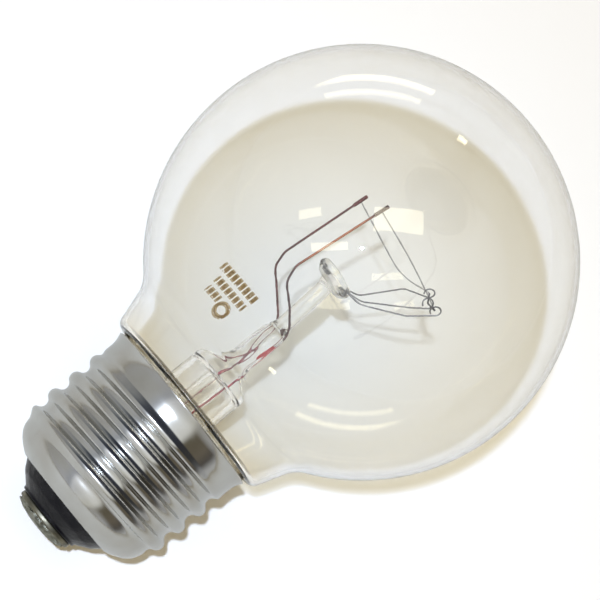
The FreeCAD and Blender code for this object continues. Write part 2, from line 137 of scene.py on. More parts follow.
def spin_round(shape, steps):
    """Spin what lies in the x-z plane into a closed form of revolution."""
    bmesh.ops.spin(shape, geom=shape.verts[:] + shape.edges[:], cent=(0, 0, 0), axis=(0, 0, 1),
                   dvec=(0, 0, 0), angle=math.tau, steps=steps, use_merge=True)
    bmesh.ops.remove_doubles(shape, verts=shape.verts, dist=merge_distance)
    bmesh.ops.recalc_face_normals(shape, faces=shape.faces)


def add_shape(name, shape, material):
    """Make an object of a mesh in millimetres, smooth but for its corners, in metres."""
    bmesh.ops.scale(shape, vec=(mm, mm, mm), verts=shape.verts)
    mesh = bpy.data.meshes.new(name)
    shape.to_mesh(mesh)
    shape.free()
    mesh.shade_smooth()
    mesh.set_sharp_from_angle(angle=sharp_from)
    mesh.materials.append(material)
    return add_object(name, mesh)


def make_piece(name, shape, material):
    """A piece of the bulb, which moves with the whole."""
    piece = add_shape(name, shape, material)
    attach(piece, "root")
    return piece


def add_wall(piece, thickness):
    """Give a thin form its wall, inwards from its surface."""
    wall = piece.modifiers.new("wall", "SOLIDIFY")
    wall.thickness = thickness * mm
    wall.offset = -1


def new_group(name, inputs, outputs):
    """A shader node group with float inputs and their defaults, and float outputs."""
    group = bpy.data.node_groups.new(name, "ShaderNodeTree")
    for socket, default in inputs.items():
        made = group.interface.new_socket(socket, in_out="INPUT", socket_type="NodeSocketFloat")
        made.default_value = default
    for socket in outputs:
        group.interface.new_socket(socket, in_out="OUTPUT", socket_type="NodeSocketFloat")
    ends = group.nodes.new("NodeGroupInput"), group.nodes.new("NodeGroupOutput")
    return group, ends[0].outputs, ends[1].inputs


def place_group(tree, group, **values):
    """Put a node group in a material with its own values, and give its outputs."""
    node = tree.nodes.new("ShaderNodeGroup")
    node.node_tree = group
    for socket, value in values.items():
        node.inputs[socket].default_value = value
    return node.outputs


def compute(tree, operation, *values):
    """One step of arithmetic in a node tree, on sockets and plain numbers."""
    node = tree.nodes.new("ShaderNodeMath")
    node.operation = operation
    for value, socket in zip(values, node.inputs):
        if isinstance(value, bpy.types.NodeSocket):
            tree.links.new(value, socket)
        else:
            socket.default_value = value
    return node.outputs["Value"]


def rise(tree, value, low, high):
    """0 up to low, 1 from high on, and a straight rise between them, as a node."""
    node = tree.nodes.new("ShaderNodeMapRange")
    node.inputs["From Min"].default_value = low
    node.inputs["From Max"].default_value = high
    tree.links.new(value, node.inputs["Value"])
    return node.outputs["Result"]


def mix_colors(tree, mask, low, high):
    """A colour that goes from low to high with a mask. Both are colours or sockets."""
    mix = tree.nodes.new("ShaderNodeMix")
    mix.data_type = "RGBA"
    for end, color in (("A", low), ("B", high)):
        if isinstance(color, bpy.types.NodeSocket):
            tree.links.new(color, mix.inputs[end])
        else:
            mix.inputs[end].default_value = (*color, 1)
    tree.links.new(mask, mix.inputs["Factor"])
    return mix.outputs["Result"]


def main_shader(material):
    return material.node_tree.nodes["Principled BSDF"]


def new_material(name, color, roughness, metallic=0.0):
    """A material with its main shader set to plain values."""
    material = bpy.data.materials.new(name)
    material.use_nodes = True
    given = main_shader(material).inputs
    given["Base Color"].default_value = (*color, 1)
    given["Roughness"].default_value = roughness
    given["Metallic"].default_value = metallic
    return material


def paint(material, color):
    """Let a colour socket feed the main shader."""
    material.node_tree.links.new(color, main_shader(material).inputs["Base Color"])


def add_bump(material, height, distance):
    """Let a height stand out from the surface by a distance in millimetres."""
    tree = material.node_tree
    bump = tree.nodes.new("ShaderNodeBump")
    bump.inputs["Distance"].default_value = distance * mm
    tree.links.new(height, bump.inputs["Height"])
    tree.links.new(bump.outputs["Normal"], main_shader(material).inputs["Normal"])


# Patches of dull and clean metal or glass, used in most materials: soft blotches, with
# a value for the roughness and a mask.
patches, given, made = new_group("patches", {"Size": 3.0, "Low": 0.2, "High": 0.4}, ("Value", "Mask"))
place = patches.nodes.new("ShaderNodeTexCoord")
cloud = patches.nodes.new("ShaderNodeTexNoise")
cloud.inputs["Detail"].default_value = 4
patches.links.new(place.outputs["Object"], cloud.inputs["Vector"])
patches.links.new(compute(patches, "DIVIDE", 1 / mm, given["Size"]), cloud.inputs["Scale"])
mask = rise(patches, cloud.outputs["Fac"], 0.35, 0.65)
patches.links.new(mask, made["Mask"])
value = patches.nodes.new("ShaderNodeMapRange")
patches.links.new(mask, value.inputs["Value"])
patches.links.new(given["Low"], value.inputs["To Min"])
patches.links.new(given["High"], value.inputs["To Max"])
patches.links.new(value.outputs["Result"], made["Value"])

# Fine lines that run round the axis, as rolling, spinning and drawing leave them.
rings, given, made = new_group("rings", {"Spacing": 0.2}, ("Height",))
place = rings.nodes.new("ShaderNodeTexCoord")
stretch = rings.nodes.new("ShaderNodeMapping")
stretch.inputs["Scale"].default_value = (0.03, 0.03, 1)
lines = rings.nodes.new("ShaderNodeTexNoise")
lines.inputs["Detail"].default_value = 3
rings.links.new(place.outputs["Object"], stretch.inputs["Vector"])
rings.links.new(stretch.outputs["Vector"], lines.inputs["Vector"])
rings.links.new(compute(rings, "DIVIDE", 1 / mm, given["Spacing"]), lines.inputs["Scale"])
rings.links.new(lines.outputs["Fac"], made["Height"])


def patchy(name, low, high, rough, size, metallic=0.0, dent=0.0):
    """A material whose colour and roughness change in patches, which may be dented."""
    material = new_material(name, low, rough[0], metallic)
    tree = material.node_tree
    spots = place_group(tree, patches, Size=size, Low=rough[0], High=rough[1])
    tree.links.new(spots["Value"], main_shader(material).inputs["Roughness"])
    paint(material, mix_colors(tree, spots["Mask"], low, high))
    if dent:
        add_bump(material, spots["Mask"], dent)
    return material


shell_metal = patchy(
    "rolled_aluminium", (0.60, 0.61, 0.605), (0.52, 0.515, 0.49), (0.1, 0.22), 6.0, metallic=1.0)
add_bump(shell_metal, place_group(shell_metal.node_tree, rings, Spacing=0.5)["Height"], 0.001)

shape = bmesh.new()
ends = [shape.verts.new((1, 0, z)) for z in (shell_bottom_z, rim_z)]
edge = shape.edges.new(ends)
bmesh.ops.subdivide_edges(shape, edges=[edge], cuts=shell_cuts)
spin_round(shape, large_round_steps)
for vert in shape.verts:
    angle = math.atan2(vert.co.y, vert.co.x)
    vert.co.xy = vert.co.xy.normalized() * shell_radius(angle, vert.co.z)
screw_shell = make_piece("screw_cap_shell", shape, shell_metal)
add_wall(screw_shell, shell_wall)
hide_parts("screw_shell")


# Cap insulator: black glass pressed hot into the foot of the shell. Its cone is glossy,
# a little wavy, and has a small hole for the wire.
contact_top_z = 1.9
insulator_top_z = 8.4
insulator_hole_radius = 1.2

black_glass = patchy(
    "black_glass", (0.003, 0.003, 0.005), (0.009, 0.009, 0.011), (0.08, 0.3), 1.6, dent=0.05)
main_shader(black_glass).inputs["Specular IOR Level"].default_value = 0.15

shape = bmesh.new()
outline(shape, [
    (insulator_hole_radius, insulator_top_z, 0),
    (insulator_hole_radius, contact_top_z, 0.2),
    (5.2, contact_top_z, 0.2),
    (5.2, 2.3, 0.3),
    (7.0, 3.6, 1.5),
    (8.35, 5.22, 0.1),
    (9.0, 5.55, 0.6),
    (10.0, 6.15, 0.8),
    (10.85, 6.9, 0.8),
    (11.4, 7.9, 0.8),
    (11.45, insulator_top_z, 0),
    (insulator_hole_radius, insulator_top_z, 0),
])
spin_round(shape, 96)
insulator = make_piece("cap_black_glass", shape, black_glass)
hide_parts("cap_insulator")


# Centre contact: a round brass plate with an eyelet for the wire. It is stamped from
# sheet and pressed into the black glass while that is hot.
eyelet_radius = 0.9
contact_radius = 4.8
contact_bottom_z = 1.05

brass = patchy("contact_brass", (0.22, 0.205, 0.15), (0.13, 0.125, 0.1), (0.35, 0.55), 1.2, metallic=1.0)

shape = bmesh.new()
outline(shape, [
    (eyelet_radius, contact_bottom_z, 0),
    (contact_radius, contact_bottom_z, 0.3),
    (contact_radius, contact_top_z, 0.3),
    (eyelet_radius, contact_top_z, 0),
    (eyelet_radius, contact_bottom_z, 0),
])
spin_round(shape, 72)
contact = make_piece("contact_plate", shape, brass)
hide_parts("centre_contact")


# Centre solder: a button of tin solder melted over the eyelet. It has set with a
# ragged edge and a dull, dented face.
solder_top_z = 1.06
ragged_from, ragged_to = 2.0, 4.0
ragged_share = 0.11

solder_metal = patchy(
    "solder", (0.32, 0.32, 0.265), (0.15, 0.15, 0.12), (0.28, 0.6), 1.0, metallic=1.0, dent=0.12)

shape = bmesh.new()
outline(shape, [
    (0, 0.0, 0),
    (1.8, 0.0, 1.5),
    (3.4, 0.25, 2.0),
    (4.3, 0.74, 0.2),
    (4.3, solder_top_z, 0),
    (0, solder_top_z, 0),
])
bmesh.ops.subdivide_edges(shape, edges=shape.edges[:], cuts=2)
spin_round(shape, 96)
for vert in shape.verts:
    ragged = noise.noise(vert.co * 0.9 + Vector((3, 1, 0))) + 0.5 * noise.noise(vert.co * 2.7)
    vert.co.xy *= 1 + ragged_share * smooth(vert.co.xy.length, ragged_from, ragged_to) * ragged
solder = make_piece("contact_solder", shape, solder_metal)
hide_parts("centre_solder")


# Side solder: a blob that joins the second outer lead to the rim of the shell, at the
# back of the cap.
blob_radius = 1.15
blob_stretch = (1.25, 0.62, 0.85)
blob_place = (0, 13.4, 24.55)
blob_lump_share = 0.12

shape = bmesh.new()
bmesh.ops.create_icosphere(shape, subdivisions=4, radius=blob_radius)
for vert in shape.verts:
    vert.co *= 1 + blob_lump_share * noise.noise(vert.co * 1.3)
bmesh.ops.scale(shape, vec=blob_stretch, verts=shape.verts)
bmesh.ops.translate(shape, vec=blob_place, verts=shape.verts)
side_solder = make_piece("rim_solder", shape, solder_metal)
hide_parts("side_solder")


# Basing cement: the baked, cream coloured cement that holds the neck in the shell. It is
# the CAD's own shape with a material.
def dress(node, material):
    """Give a CAD node its material."""
    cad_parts[node].data.materials.clear()
    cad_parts[node].data.materials.append(material)


cement_stuff = patchy("baked_cement", (0.66, 0.59, 0.45), (0.5, 0.43, 0.3), (0.75, 0.95), 0.5, dent=0.1)
dress("basing_cement", cement_stuff)


# Glass envelope: one blown globe whose neck is necked in to pass the rim of the shell.
# It is clear, with fine drawing lines and a slightly wavy wall.
globe_radius = 30.15
globe_center_z = 57.2
glass_wall = 0.65
neck_fillet = 5.0
neck_radius = 14.5
neck_z = 25.85
neck_taper = math.radians(18)
neck_in_cap_radius = 11.0
seal_z = 12.2
globe_tint = (0.935, 0.935, 0.925)
painted_neck_shadow_tint = (0.89, 0.855, 0.77)
ink_brown = (0.28, 0.17, 0.06)


def edge_colors(tree, middle, edge, blend):
    """A colour that goes to another one where the glass turns away."""
    turned = tree.nodes.new("ShaderNodeLayerWeight")
    turned.inputs["Blend"].default_value = blend
    return mix_colors(tree, turned.outputs["Facing"], middle, edge)


def mix_shaders(tree, mask, low, high):
    """The first shader where the mask is 0, and the second where it is 1."""
    mix = tree.nodes.new("ShaderNodeMixShader")
    for source, socket in zip((mask, low, high), mix.inputs):
        tree.links.new(source, socket)
    return mix.outputs["Shader"]


def clear_glass(name, tint, shade, edge_shade):
    """Clear glass that lets the lamps through as tinted light, darker at its edges."""
    material = new_material(name, tint, 0.0)
    main_shader(material).inputs["Transmission Weight"].default_value = 1.0
    main_shader(material).inputs["IOR"].default_value = 1.5
    tree = material.node_tree
    light = tree.nodes.new("ShaderNodeLightPath")
    clear = tree.nodes.new("ShaderNodeBsdfTransparent")
    tree.links.new(edge_colors(tree, shade, edge_shade, 0.3), clear.inputs["Color"])
    mixed = mix_shaders(tree, light.outputs["Is Shadow Ray"],
                        main_shader(material).outputs["BSDF"], clear.outputs["BSDF"])
    tree.links.new(mixed, tree.nodes["Material Output"].inputs["Surface"])
    return material


def height_mask(tree, edges):
    """0 below and above a band of heights in millimetres, and 1 in it."""
    place = tree.nodes.new("ShaderNodeTexCoord")
    parts = tree.nodes.new("ShaderNodeSeparateXYZ")
    tree.links.new(place.outputs["Object"], parts.inputs["Vector"])
    up = rise(tree, parts.outputs["Z"], edges[0] * mm, edges[1] * mm)
    down = rise(tree, parts.outputs["Z"], edges[3] * mm, edges[2] * mm)
    return compute(tree, "MULTIPLY", up, down)


# The stamp on the front of the glass: rows of small brown blocks beside a ring, in plain
# shapes that say nothing. Each row is (middle x, z, half width, half height).
stamp_rows = ((-7.8, 40.0, 3.1, 0.48), (-7.5, 38.4, 2.6, 0.42), (-8.9, 36.9, 1.1, 0.4))
block_pitch = 0.74
block_share = 0.7
ring_x, ring_z = -6.6, 36.3
ring_radius = 0.85
ring_half_line = 0.2
stamp_behind_y = -10

stamp, given, made = new_group("ink_stamp", {}, ("Mask",))
place = stamp.nodes.new("ShaderNodeTexCoord")
parts = stamp.nodes.new("ShaderNodeSeparateXYZ")
stamp.links.new(place.outputs["Object"], parts.inputs["Vector"])
across = compute(stamp, "DIVIDE", parts.outputs["X"], mm)
up = compute(stamp, "DIVIDE", parts.outputs["Z"], mm)
rows = 0.0
for middle, height, half_width, half_height in stamp_rows:
    inside = compute(stamp, "MULTIPLY", compute(stamp, "COMPARE", across, middle, half_width),
                     compute(stamp, "COMPARE", up, height, half_height))
    rows = compute(stamp, "MAXIMUM", rows, inside)
along = compute(stamp, "FRACT", compute(stamp, "DIVIDE", across, block_pitch))
blocks = compute(stamp, "MULTIPLY", rows, compute(stamp, "LESS_THAN", along, block_share))
off_x = compute(stamp, "SUBTRACT", across, ring_x)
off_z = compute(stamp, "SUBTRACT", up, ring_z)
squares = compute(stamp, "MULTIPLY_ADD", off_x, off_x, compute(stamp, "MULTIPLY", off_z, off_z))
ring = compute(stamp, "COMPARE", compute(stamp, "SQRT", squares), ring_radius, ring_half_line)
front = compute(stamp, "LESS_THAN", parts.outputs["Y"], stamp_behind_y * mm)
marks = compute(stamp, "MULTIPLY", compute(stamp, "MAXIMUM", blocks, ring), front)
grain = stamp.nodes.new("ShaderNodeTexNoise")
grain.inputs["Scale"].default_value = 2.4 / mm
stamp.links.new(place.outputs["Object"], grain.inputs["Vector"])
worn = rise(stamp, grain.outputs["Fac"], 0.3, 0.4)
stamp.links.new(compute(stamp, "MULTIPLY", marks, worn), made["Mask"])

envelope_glass = clear_glass("blown_glass", globe_tint, (0.93, 0.928, 0.915), (0.72, 0.68, 0.58))
tree = envelope_glass.node_tree
add_bump(envelope_glass, place_group(tree, rings, Spacing=2.5)["Height"], 0.01)
# The neck is painted beige below about 31 mm: a painted shadow, for the shadow of the cap on the paper seen
# through the neck.
painted_neck_shadow = mix_colors(tree, height_mask(tree, (0, 1, 26.5, 31)), globe_tint, painted_neck_shadow_tint)
paint(envelope_glass, mix_colors(tree, place_group(tree, stamp)["Mask"], painted_neck_shadow, ink_brown))

# The neck's fillet touches the globe and the tapered rim, so its centre is found first.
upward = Vector((math.sin(neck_taper), 0, math.cos(neck_taper)))
outward = Vector((math.cos(neck_taper), 0, -math.sin(neck_taper)))
globe_center = Vector((0, 0, globe_center_z))
start = Vector((neck_radius, 0, neck_z)) + outward * neck_fillet - globe_center
along = start.dot(upward)
rest = start.dot(start) - (globe_radius + neck_fillet) ** 2
fillet_center = globe_center + start - upward * (along + math.sqrt(along ** 2 - rest))
on_globe = globe_center + (fillet_center - globe_center).normalized() * globe_radius
on_neck = fillet_center - outward * neck_fillet
fillet_turn = (on_globe - fillet_center).angle(on_neck - fillet_center)
globe_turn = (on_globe - globe_center).angle(Vector((0, 0, 1)))

shape = bmesh.new()
first = shape.verts.new(on_globe)
for center, turn, steps in ((globe_center, globe_turn, 96), (fillet_center, fillet_turn, 12)):
    bmesh.ops.spin(shape, geom=[first], cent=center, axis=(0, -1, 0), dvec=(0, 0, 0),
                   angle=turn, steps=steps)
outline(shape, [
    (neck_in_cap_radius, seal_z, 0),
    (neck_in_cap_radius, 21.0, 4.0),
    (11.9, 25.3, 0.5),
    (neck_radius, neck_z, 1.3),
    (on_neck.x, on_neck.z, 0),
])
bmesh.ops.remove_doubles(shape, verts=shape.verts, dist=2 * merge_distance)
spin_round(shape, large_round_steps)
envelope = make_piece("globe_glass", shape, envelope_glass)
add_wall(envelope, glass_wall)
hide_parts("glass_envelope")


# Stem: a flared glass tube, its top pinched flat and hot over the two leads, so the
# press is lumpy. Its bore ends under the press, where the exhaust tube joins it.
flare_tube_radius = 4.8
flare_wall = 0.95
flare_radius = neck_in_cap_radius - 0.02
press_top_z = 41.9
press_half_width = Vector((1.85, 4.4))
bore_end_z = 32.2
pinch_from, pinch_to = 32.5, 35.4
press_lump_share = 0.06


def lumpy_glass(name, middle, edge, blend, shade, edge_shade, lump_size, lump_height):
    """Clear glass that was worked hot: lumpy, its colour painted darker where it turns away, as painted
    shade.
    """
    material = clear_glass(name, middle, shade, edge_shade)
    tree = material.node_tree
    # Painted shade: the colour goes dark towards the outlines, where the glass turns away.
    paint(material, edge_colors(tree, middle, edge, blend))
    add_bump(material, place_group(tree, patches, Size=lump_size)["Mask"], lump_height)
    return material


def cut_long_edges(shape, longer_than, cuts, above=0.0):
    """Cut an outline's long edges above a height, so that they can bend."""
    edges = [edge for edge in shape.edges
             if edge.calc_length() > longer_than and min(v.co.z for v in edge.verts) > above]
    bmesh.ops.subdivide_edges(shape, edges=edges, cuts=cuts)


# The stem's colour is painted darker at its outlines: painted shade.
stem_glass = lumpy_glass("stem_glass", (1.0, 1.0, 0.99), (0.55, 0.52, 0.46), 0.25,
                         (0.76, 0.72, 0.62), (0.55, 0.5, 0.4), 3.0, 0.03)

shape = bmesh.new()
outline(shape, [
    (0, press_top_z, 0),
    (flare_tube_radius, press_top_z, 1.3),
    (flare_tube_radius, seal_z, 5.4),
    (flare_radius, seal_z, 0),
    (flare_radius, seal_z - flare_wall, 0),
    (flare_tube_radius - flare_wall, seal_z - flare_wall, 6.3),
    (flare_tube_radius - flare_wall, bore_end_z, 1.4),
    (0, bore_end_z, 0),
])
cut_long_edges(shape, 5, 40, above=12)
spin_round(shape, 96)
for vert in shape.verts:
    turn = math.atan2(vert.co.y, vert.co.x)
    square = 1 / (abs(math.cos(turn)) ** 4 + abs(math.sin(turn)) ** 4) ** 0.25
    wide = press_half_width * square
    lump = 1 + press_lump_share * noise.noise(vert.co * 0.45)
    share = vert.co.xy.length / flare_tube_radius * lump
    pressed = Vector((math.cos(turn) * wide.x, math.sin(turn) * wide.y)) * share
    vert.co.xy = vert.co.xy.lerp(pressed, smooth(vert.co.z, pinch_from, pinch_to))
stem = make_piece("stem_press", shape, stem_glass)
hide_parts("stem_flare")


# Exhaust tube: the thin glass tube that the bulb was pumped through. It is fused to the
# stem under the press, and its lower end was melted shut and drawn off to a tip.
exhaust_radius = 1.85
exhaust_bore_radius = 1.15
exhaust_top_z = bore_end_z - 0.02

shape = bmesh.new()
outline(shape, [
    (0, 9.9, 0),
    (0.5, 9.9, 0.3),
    (exhaust_radius, 13.1, 2.0),
    (exhaust_radius, exhaust_top_z, 0),
    (exhaust_bore_radius, exhaust_top_z, 0),
    (exhaust_bore_radius, 13.1, 1.0),
    (0, 11.8, 0),
])
spin_round(shape, 48)
exhaust = make_piece("exhaust_tube_drawn", shape, stem_glass)
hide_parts("exhaust_tube")


# Support rod: a glass cane melted onto the press, its end heated and squashed to a
# button that holds the support wires.
rod_radius = 1.15
button_center = Vector((-0.6, 0, 52.8))
button_tilt = math.radians(7)
button_from, button_to = 50.5, 51.8
button_lump = 0.12
button_seed = 7

# The rod's colour is painted much darker at its outlines: painted shade for its dark edges.
rod_glass = lumpy_glass("rod_glass", (1.0, 1.0, 0.98), (0.25, 0.23, 0.2), 0.35,
                        (0.62, 0.58, 0.48), (0.45, 0.4, 0.3), 2.5, 0.05)

shape = bmesh.new()
outline(shape, [
    (0, press_top_z, 0),
    (1.6, press_top_z, 0.3),
    (rod_radius, press_top_z + 1.2, 1.5),
    (rod_radius, 51.5, 0.6),
    (2.6, 51.9, 0.5),
    (3.3, 52.7, 0.7),
    (2.9, 53.7, 0.6),
    (0, 53.75, 0),
])
cut_long_edges(shape, 4, 16)
spin_round(shape, 64)
button_on_axis = Vector((0, 0, button_center.z))
noise.seed_set(button_seed)
for vert in shape.verts:
    share = (vert.co.z - press_top_z) / (button_center.z - press_top_z)
    bent = smooth(vert.co.z, button_from, button_to)
    turned = Matrix.Rotation(button_tilt * bent, 3, "Y") @ (vert.co - button_on_axis)
    vert.co = turned + button_on_axis
    vert.co.x += button_center.x * min(share, 1)
    vert.co += noise.noise_vector(vert.co * 0.5) * button_lump * bent
rod = make_piece("support_rod_and_button", shape, rod_glass)
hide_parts("support_rod")


# Leads and seal wires: nickel plated leads, oxidised brown by the heat, run on from
# the red, glass-wetting seal wires in the press, and bare copper below them. All but the
# near seal wire are the CAD's own shapes with materials.
streak_size = 2.2

far_metal = patchy(
    "lead_dark_oxide", (0.06, 0.022, 0.02), (0.13, 0.035, 0.03), (0.3, 0.5), streak_size, metallic=0.6)
near_metal = patchy(
    "lead_brown_oxide", (0.07, 0.03, 0.03), (0.05, 0.025, 0.025), (0.3, 0.5), streak_size, metallic=0.6)
tree = near_metal.node_tree
plain = main_shader(near_metal).inputs["Base Color"].links[0].from_socket
paint(near_metal, mix_colors(tree, height_mask(tree, (48.5, 52.0, 60.5, 62.3)), plain, (0.27, 0.09, 0.035)))
seal_red = patchy(
    "seal_wire_red", (0.52, 0.003, 0.012), (0.36, 0.003, 0.015), (0.35, 0.5), streak_size)
main_shader(seal_red).inputs["Specular IOR Level"].default_value = 0.1
seal_dull = patchy(
    "seal_wire_dull", (0.22, 0.03, 0.04), (0.12, 0.03, 0.04), (0.25, 0.4), streak_size, metallic=0.2)
copper = patchy(
    "tarnished_copper", (0.30, 0.04, 0.06), (0.13, 0.03, 0.05), (0.25, 0.45), streak_size, metallic=0.9)
dress("inner_lead_1", near_metal)
dress("inner_lead_2", far_metal)
dress("seal_wire_2", seal_dull)
dress("outer_lead_centre", copper)
dress("outer_lead_side", copper)

# The near seal wire: copper-clad, red under the glass of the press, and swollen where
# the glass has wetted it. Between its ends it lies a little nearer to the middle.
near_seal_x = 1.5
near_seal_y = -2.6
seal_bottom_z = 35.7
seal_top_z = 40.9
near_seal_bow = 0.4
thin_radius = 0.12
swollen_radius = 0.17

shape = bmesh.new()
outline(shape, [
    (0, seal_bottom_z, 0),
    (thin_radius, seal_bottom_z, 0),
    (thin_radius, 37.2, 3.0),
    (0.16, 39.2, 3.0),
    (swollen_radius, 40.3, 1.0),
    (swollen_radius, seal_top_z, 0),
    (0, seal_top_z, 0),
])
cut_long_edges(shape, 0.6, 8)
spin_round(shape, 24)
for vert in shape.verts:
    bowed = smooth(vert.co.z, seal_bottom_z, 36.3) * (1 - smooth(vert.co.z, 40.0, seal_top_z))
    vert.co.x += near_seal_x - near_seal_bow * bowed
    vert.co.y += near_seal_y
red_wire = make_piece("seal_wire_near", shape, seal_red)
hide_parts("seal_wire_1")


# Support wires: three thin molybdenum wires, pushed into the button while it was soft.
# Each ends in a small ring that holds the filament. They are the CAD's own shapes.
support_metal = patchy(
    "support_grey", (0.26, 0.26, 0.26), (0.13, 0.13, 0.135), (0.3, 0.5), streak_size, metallic=0.9)
for number in (1, 2, 3):
    dress("support_wire_" + str(number), support_metal)


# Filament: a tungsten wire wound to a fine coil, strung from one clamp through the
# three rings to the other. Its first and last stretch sag in one long curve.
filament_points = [Vector(point) for point in (
    (-3.73, -4.57, 63.21), (4.2, -4.9, 62.0), (11.57, -4.0, 60.36), (10.28, 0.56, 60.98),
    (9.49, 4.52, 62.74), (4.8, 5.0, 61.2), (-6.8, 4.57, 63.41))]
sagging = (1, 5)
bend_share = 0.45
ring_bend = 0.5
bend_steps = 24
coil_radius = 0.095
coil_pitch = 0.17
coil_wire_radius = 0.033
turn_steps = 9

filament_metal = patchy(
    "tungsten_grey", (0.15, 0.15, 0.155), (0.09, 0.09, 0.09), (0.35, 0.55), streak_size, metallic=0.9)
path = [filament_points[0]]
for at in range(1, len(filament_points) - 1):
    before, here, after = filament_points[at - 1:at + 2]
    back, on = (before - here).normalized(), (after - here).normalized()
    half = back.angle(on) / 2
    bend = bend_share * min((before - here).length, (after - here).length) * math.tan(half)
    bend = bend if at in sagging else min(bend, ring_bend)
    reach = bend / math.tan(half)
    first, last = here + back * reach, here + on * reach
    for k in range(bend_steps + 1):
        share = k / bend_steps
        path.append(first.lerp(here, share).lerp(here.lerp(last, share), share))
path.append(filament_points[-1])

coil = bpy.data.curves.new("filament_coil", "CURVE")
coil.dimensions = "3D"
coil.bevel_depth = coil_wire_radius * mm
coil.bevel_resolution = 0
spots = []
turned = 0.0
for begin, end in zip(path, path[1:]):
    stretch = (end - begin).length
    count = max(1, round(stretch / coil_pitch * turn_steps))
    run = (end - begin).normalized()
    side = run.cross(Vector((0, 0, 1))).normalized()
    over = side.cross(run)
    for k in range(count):
        turned += stretch / count / coil_pitch * math.tau
        round_it = side * math.cos(turned) + over * math.sin(turned)
        spots.append(begin.lerp(end, k / count) + round_it * coil_radius)
strand = coil.splines.new("POLY")
strand.points.add(len(spots) - 1)
for spot, point in zip(spots, strand.points):
    point.co = (*(spot * mm), 1)
draft = add_object("filament_draft", coil)
mesh = bpy.data.meshes.new_from_object(draft.evaluated_get(bpy.context.evaluated_depsgraph_get()))
bpy.data.objects.remove(draft)
mesh.name = "filament_coil"
mesh.materials.clear()
mesh.materials.append(filament_metal)
mesh.shade_smooth()
filament = add_object("filament_coil", mesh)
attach(filament, "root")
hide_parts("filament")


# Paper: the white sheet that the bulb lies on. The globe and a crest of the thread
# touch it. It is not seen from behind, and it glows a little where the lamp is far away,
# so that it looks white all over.
paper_up = Vector((0, -0.926, 0.378)).normalized()
paper_gap = 0.05
paper_place = globe_center - paper_up * (globe_radius + paper_gap)
paper_half_size = 1500
paper_color = (0.98, 0.98, 0.98)
paper_painted_dim_in_mirrors = (0.6, 0.6, 0.58)
paper_glow = (0.50, 0.58, 0.745)
key_distance = 500.0
key_place = camera_aim + (image_up * 0.115 - image_right * 0.005 - ahead) * key_distance
key_height = (key_place - paper_place).dot(paper_up)
under_key = key_place - paper_up * key_height
lit_here = (1 + ((paper_place - under_key).length / key_height) ** 2) ** -1.5
glow_below = 0.8

paper_white = new_material("paper", paper_color, 0.9)
paper_inputs = main_shader(paper_white).inputs
paper_inputs["Specular IOR Level"].default_value = 0.0
tree = paper_white.node_tree
light = tree.nodes.new("ShaderNodeLightPath").outputs
# Where the metal mirrors the paper, the paper is painted a darker grey than it is: painted shade in the
# reflection.
reflected = compute(tree, "GREATER_THAN", light["Is Glossy Ray"], light["Is Transmission Ray"])
paint(paper_white, mix_colors(tree, reflected, paper_color, paper_painted_dim_in_mirrors))
place = tree.nodes.new("ShaderNodeTexCoord")
away = tree.nodes.new("ShaderNodeVectorMath")
away.operation = "DISTANCE"
away.inputs[1].default_value = under_key * mm
tree.links.new(place.outputs["Object"], away.inputs[0])
slope = compute(tree, "DIVIDE", away.outputs["Value"], key_height * mm)
lit = compute(tree, "POWER", compute(tree, "MULTIPLY_ADD", slope, slope, 1.0), -1.5)
missing = compute(tree, "SUBTRACT", glow_below, compute(tree, "DIVIDE", lit, lit_here))
missing = compute(tree, "DIVIDE", compute(tree, "MAXIMUM", missing, 0.0), glow_below)
seen = compute(tree, "MAXIMUM", light["Is Camera Ray"], light["Is Transmission Ray"])
paper_inputs["Emission Color"].default_value = (*paper_glow, 1)
tree.links.new(compute(tree, "MULTIPLY", missing, seen), paper_inputs["Emission Strength"])
side = tree.nodes.new("ShaderNodeNewGeometry")
open_back = tree.nodes.new("ShaderNodeBsdfTransparent")
one_sided = mix_shaders(tree, side.outputs["Backfacing"], main_shader(paper_white).outputs["BSDF"],
                        open_back.outputs["BSDF"])
tree.links.new(one_sided, tree.nodes["Material Output"].inputs["Surface"])

shape = bmesh.new()
bmesh.ops.create_grid(shape, x_segments=1, y_segments=1, size=paper_half_size)
tilt = Vector((0, 0, 1)).rotation_difference(paper_up).to_matrix()
bmesh.ops.rotate(shape, matrix=tilt, verts=shape.verts)
bmesh.ops.translate(shape, vec=paper_place, verts=shape.verts)
paper = add_shape("paper", shape, paper_white)


# Light: one small lamp from behind and just above the camera, which throws the sharp
# shadows on the paper. It doesn't show in what is seen through the glass.
key_power = 10.2
key_radius = 7

key = add_object("key", bpy.data.lights.new("key", "POINT"))
key.data.energy = key_power
key.data.color = (0.72, 0.82, 1.0)
key.data.shadow_soft_size = key_radius * mm
key.location = key_place * mm
key.visible_transmission = False

# Windows and a lamp that only show as glare on the glass. The front of the globe mirrors
# each at an offset from the globe's middle, (right, up) in parts of its radius. Their
# width and height, and their distance from the globe, are in metres.
window_distance = 0.6
window_color = (1.0, 0.92, 0.66)
glass_pieces = bpy.data.collections.new("glass_pieces")
for piece in (envelope, stem, exhaust, rod):
    glass_pieces.objects.link(piece)


